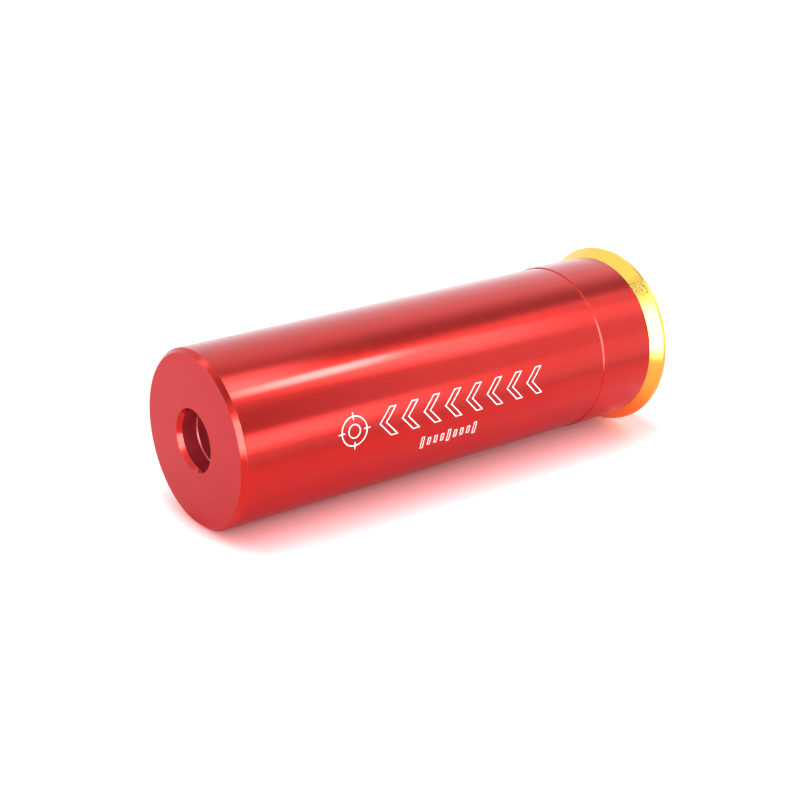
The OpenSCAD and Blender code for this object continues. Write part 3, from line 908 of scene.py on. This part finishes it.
def chip_part(build, at, turn, size, base):
    """A chip component with plated ends, turned about the beam axis at a place on the board."""
    length, width, height = size
    cap = 0.3
    fresh = bmesh.new()
    add_box(fresh, (length - 2 * cap + 0.04, width - 0.04, height - 0.04), (0, 0, base + height / 2), 0, 0.03)
    for side in (-1, 1):
        add_box(fresh, (cap, width, height), (side * (length - cap) / 2, 0, base + height / 2), 1, 0.06)
    cosine, sine = math.cos(turn), math.sin(turn)
    copies = {}
    for vert in fresh.verts:
        x, z = vert.co.x / MM, vert.co.z / MM
        copies[vert] = build.verts.new(((at[0] + cosine * x - sine * z) * MM, vert.co.y,
                                        (at[1] + sine * x + cosine * z) * MM))
    for face in fresh.faces:
        build.faces.new([copies[vert] for vert in face.verts]).material_index = face.material_index
    fresh.free()


# ---- cells and contacts
def build_cell(number):
    """One button cell: drawn can with a rolled edge and a pressed plus, gasket, and negative top."""
    base, _, r = span(f"cell_{number}_can")
    wall, height = 0.25, 5.4
    crimp, skirt = height - 0.7, height - 2.35
    lip_r, top_r = r - 0.65, r - 0.9
    can = [(0, base), (r, base, 0.4), (r, base + crimp, 0.5), (lip_r, base + crimp, 0.08),
           (lip_r, base + crimp - wall, 0.05), (r - 0.5, base + crimp - wall, 0.05),
           (r - wall, base + crimp - 0.5, 0.05), (r - wall, base + wall, 0.1), (0, base + wall)]
    piece = lathe(f"can_{number}", can, [NICKEL], segments=128, steps=8)
    arm, bar, deep = 2.4, 0.45, 0.05
    plus_sign = [cutter_box((x, y, 2 * deep), (0, 0, base)) for x, y in ((arm, bar), (bar, arm))]
    cut(piece, plus_sign, edge=0.02)
    place(piece, "cell_stack", "cell_nickel", f"cell_{number}_can")
    low, high, outer = span(f"cell_{number}_gasket")
    gasket = [(top_r + 0.02, low, 0.05), (outer, low, 0.05), (outer, base + crimp - 0.55, 0.2),
              (r - 0.5, base + crimp - wall - 0.02, 0.05), (lip_r - 0.02, base + crimp - wall - 0.02, 0),
              (lip_r - 0.02, high, 0.06), (top_r + 0.02, high, 0.06)]
    place(lathe(f"gasket_{number}", gasket, [GASKET], segments=128), "cell_stack", "cell_gasket",
          f"cell_{number}_gasket")
    low, high, outer = span(f"cell_{number}_top")
    top = [(0, high - wall), (outer - wall, high - wall, 0.1), (outer - wall, low),
           (outer, low, 0.04), (outer, high, 0.3), (0, high)]
    place(lathe(f"top_{number}", top, [NICKEL], segments=128, steps=8), "cell_stack", "cell_nickel",
          f"cell_{number}_top")


def build_sleeve():
    rear, front, r = span("battery_sleeve")
    inner = 5.95
    corners = [(inner, rear, 0.2), (r, rear, 0.12), (r, front, 0.12), (inner, front, 0.2)]
    piece = lathe("sleeve", corners, [SLEEVE], segments=128)
    return place(piece, "housing", "sleeve_plastic", "battery_sleeve")


def build_contact_plate():
    """The sprung contact disc on the floor of the cap, with a pressed ring and a raised middle."""
    rear, front, r = span("cap_contact")
    corners = [(0, rear), (r, rear, 0.12), (r, front - 0.12, 0.1), (3.9, front - 0.12, 0.1),
               (3.6, front, 0.1), (1.9, front, 0.1), (1.6, front - 0.14, 0.1), (0, front - 0.14)]
    piece = lathe("contact_plate", corners, [NICKEL], segments=128)
    return place(piece, "cap", "cell_nickel", "cap_contact")


def build_oring():
    """The seal, with the fine flash line that its mould leaves."""
    rear, front, r = span("cap_oring")
    cord, middle = (front - rear) / 2, (front + rear) / 2
    section = []
    for k in range(32):
        a = TAU * k / 32
        reach = cord + (0.012 if k in (0, 16) else 0.0)
        section.append((r - cord + reach * math.cos(a), middle + reach * math.sin(a), 0))
    build = bmesh.new()
    add_lathe(build, section, 160)
    return place(mesh_object("seal_ring", build, [RUBBER]), "cap", "oring_rubber", "cap_oring")


build_shell()
build_cap()
build_mark()
build_barrel()
build_module_retainer()
build_lens_holder()
build_lens()
build_lens_ring()
build_spring("focus_spring", "lens_spring", 0.36, 4.6, (3.7, 3.7), False)
build_spring("cell_spring", "contact_spring", 0.5, 5.2, (3.3, 1.7), True)
build_diode()
build_board_parts()
build_sleeve()
for number in (1, 2, 3):
    build_cell(number)
build_contact_plate()
build_oring()


# ---- carried-over CAD nodes
CARRIED = {
    "diode_header": GOLD_PLATE, "diode_window": LENS_GLASS, "diode_heatsink": COPPER, "laser_chip": CHIP,
    "monitor_chip": CHIP, "driver_board": BOARD, **{f"cell_{n}_filling": POWDER for n in (1, 2, 3)},
}
for node_name, material in CARRIED.items():
    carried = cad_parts[node_name]
    carried.data.materials.clear()
    carried.data.materials.append(material)


# ---- stage
def build_floor():
    """A pale floor that touches the rim and the bottom of the front face.

    It fades out a little way in front of the part and far behind it, so that the part reflects no hard
    edge of it. Its colour holds a painted red glow and painted shade close to the part, fading to a paler
    painted pink further out, and the camera sees it brighter than the part does, as on a whitened
    product picture.
    """
    rim_r = span("base_cap")[2]
    shell_front = span("body_shell")[1]
    slope = (rim_r - FRONT_R) / (shell_front - 1.0)
    back, near, half_m, contact = -1.6, 0.045, 1.6, -0.3
    build = bmesh.new()
    steps = 24
    grid = [[build.verts.new((x, y, -rim_r * MM - slope * (y - contact * MM)))
             for x in [back + (near - back) * i / steps for i in range(steps + 1)]]
            for y in [half_m * (2 * j / steps - 1) for j in range(steps + 1)]]
    for j in range(steps):
        for i in range(steps):
            build.faces.new((grid[j][i], grid[j][i + 1], grid[j + 1][i + 1], grid[j + 1][i]))
    mesh_object("floor", build, [floor_material(near, shell_front)])


def floor_material(near, shell_front):
    """The floor's colour by place, with a painted red glow and painted shade near the part: near is its near
    edge in metres, shell_front the part's front end.
    """
    material = bpy.data.materials.new("pale_floor")
    material.use_nodes = True
    g = Graph(material.node_tree)
    x, y, _ = g.add("ShaderNodeSeparateXYZ", {0: g.add("ShaderNodeTexCoord").outputs["Object"]}).outputs
    past_end = g.math("MAXIMUM", g.math("SUBTRACT", (4 - shell_front) * MM, y), y)
    aside = g.add("ShaderNodeCombineXYZ", {0: x, 1: g.ramp(past_end, 0.0, 0.008, 0.0, 0.017)}).outputs[0]
    distance = g.add("ShaderNodeVectorMath", {0: aside}, operation="LENGTH").outputs["Value"]
    # 0 within 6 mm of the part and 1 from 15 mm out: where the painted red glow and shade fade away
    painted_glow_fade = g.ramp(distance, 0.006, 0.015)

    def matt(close, far):
        return g.add("ShaderNodeBsdfDiffuse", {"Color": g.mix(painted_glow_fade, close, far)}).outputs[0]

    # painted red glow and painted shade next to the part, fading to a paler painted pink: the floor as the
    # part and the lamps see it
    plain = matt((0.80, 0.21, 0.22, 1), (0.88, 0.56, 0.57, 1))
    # for camera rays only: extra brightness, weaker and redder next to the part, which keeps the painted glow
    # and shade there
    lift = matt((0.25, 0.40, 0.40, 1), (0.62, 0.62, 0.62, 1))
    ending = g.product(g.ramp(x, near, 0.020), g.ramp(x, -1.0, -0.1))
    clear = g.add("ShaderNodeBsdfTransparent").outputs[0]
    faded = g.add("ShaderNodeMixShader", {0: ending, 1: clear, 2: plain}).outputs[0]
    bright = g.add("ShaderNodeAddShader", {0: plain, 1: lift}).outputs[0]
    seen = g.add("ShaderNodeLightPath").outputs["Is Camera Ray"]
    either = g.add("ShaderNodeMixShader", {0: seen, 1: faded, 2: bright}).outputs[0]
    g.add("ShaderNodeOutputMaterial", {0: either})
    return material


def build_world():
    """The studio round the part, drawn by direction: a white tent with a darker gap overhead, a soft
    window, a hot lamp, a shaded panel and a low bright card.

    Two measures place them: the turn in degrees across the beam axis, from straight up towards +X, and
    the lean of the direction along +Y, from -1 to 1.
    """
    world = bpy.data.worlds.new("studio")
    bpy.context.scene.world = world
    world.use_nodes = True
    g = Graph(world.node_tree)
    ramp, between, product = g.ramp, g.between, g.product

    def plus(a, b):
        return g.math("ADD", a, b)

    direction = g.add("ShaderNodeTexCoord").outputs["Generated"]
    x, lean, z = g.add("ShaderNodeSeparateXYZ", {0: direction}).outputs
    turn = g.math("MULTIPLY", g.math("ARCTAN2", x, z), 360 / TAU)
    further = g.math("SUBTRACT", lean, 0.57)
    window_turn = g.math("SUBTRACT", turn, product(further, 100.0))
    window_rise = g.math("SUBTRACT", turn, plus(product(further, 40.0),
                                                product(g.math("MAXIMUM", further, 0.0), 50.0)))
    behind = between(lean, (-0.97, -0.92), (-0.52, -0.38))
    from_side = between(lean, (-0.32, -0.2), (0.14, 0.26))
    from_rear = between(lean, (-0.92, -0.82), (-0.56, -0.44))
    parts = [
        # the tent, a little brighter towards the rear
        ramp(lean, 0.48, 0.62, 1.08, 1.17),
        # the gap overhead
        product(between(turn, (-29, 0), (5, 16)),
                plus(ramp(lean, -0.1, 0.35, 0.0, -0.38), ramp(lean, 0.5, 0.58, 0.0, -0.24))),
        # a second, weaker lamp that only the front end reflects
        product(between(turn, (-9, 13), (14, 22)), between(lean, (0.38, 0.46), (0.485, 0.545)), 3.6),
        # the soft window, strongest half way back
        product(ramp(window_rise, 14, 23), ramp(window_turn, 31, 47, 1, 0), ramp(lean, 0.3, 0.45),
                plus(ramp(lean, 0.44, 0.56, 0.7, 2.5), ramp(lean, 0.61, 0.68, 0.0, -2.1))),
        # the hot lamp
        product(between(turn, (16.5, 22.5), (24, 32)), between(lean, (0.43, 0.535), (0.545, 0.59)), 13.5),
        # the shaded panel on the camera's side
        product(between(turn, (36, 52), (67, 78)), ramp(lean, 0.47, 0.60, -0.40, 0.05)),
        # the low card at the far edge of the floor
        product(between(turn, (71, 84), (88, 103)), ramp(lean, 0.25, 0.4), ramp(lean, 0.50, 0.64, 2.2, 0.02)),
        product(between(turn, (74, 80), (90, 125)), 0.15),
        # the soft box behind the camera, which the rim, the chamfers and the step catch
        product(between(turn, (-20, 30), (100, 130)), between(lean, (-0.85, -0.7), (-0.4, -0.15)), 0.4),
        product(between(turn, (34, 60), (96, 120)), behind, 8.0),
        # below the floor, where it fades out
        ramp(g.math("ABSOLUTE", turn), 102, 122, 0.0, -0.4),
        # a strip and a shade that only the views from the side reflect
        product(from_side, between(turn, (14, 26), (34, 46)), 0.9),
        product(from_side, between(turn, (46, 60), (72, 84)), -0.45),
        # and two that only the views from behind reflect
        product(from_rear, between(turn, (-62, -50), (-42, -30)), 1.5),
        product(from_rear, between(turn, (-28, -8), (8, 30)), -0.5),
    ]
    total = parts[0]
    for part in parts[1:]:
        total = plus(total, part)
    white = (1, 1, 1, 1)
    lit = g.add("ShaderNodeBackground", {"Color": white, "Strength": total}).outputs[0]
    plain = g.add("ShaderNodeBackground", {"Color": white, "Strength": 1.5}).outputs[0]
    seen = g.add("ShaderNodeLightPath").outputs["Is Camera Ray"]
    either = g.add("ShaderNodeMixShader", {0: seen, 1: lit, 2: plain}).outputs[0]
    g.add("ShaderNodeOutputWorld", {"Surface": either})
    world.cycles.sampling_method = "MANUAL"
    world.cycles.sample_map_resolution = 2048


def build_camera():
    """The photograph's view: to one side of the front, above and close in, aimed at the middle."""
    azimuth, elevation = math.radians(52.427), math.radians(20.611)
    distance = 176.5
    aim = Vector((-0.67, -32.63, -2.04))
    back = Vector((math.sin(azimuth) * math.cos(elevation), -math.cos(azimuth) * math.cos(elevation),
                   math.sin(elevation)))
    data = bpy.data.cameras.new("camera")
    data.sensor_width = 36.0
    data.lens = 67.06
    data.clip_start = 0.005
    camera = bpy.data.objects.new("camera", data)
    camera.location = (aim + back * distance) * MM
    camera.rotation_euler = (-back).to_track_quat("-Z", "Y").to_euler()
    bpy.context.scene.collection.objects.link(camera)
    bpy.context.scene.camera = camera


build_floor()
build_world()
build_camera()
bpy.context.scene.view_settings.view_transform = "Standard"
bpy.context.scene.cycles.diffuse_bounces = 8
bpy.context.scene.cycles.glossy_bounces = 8
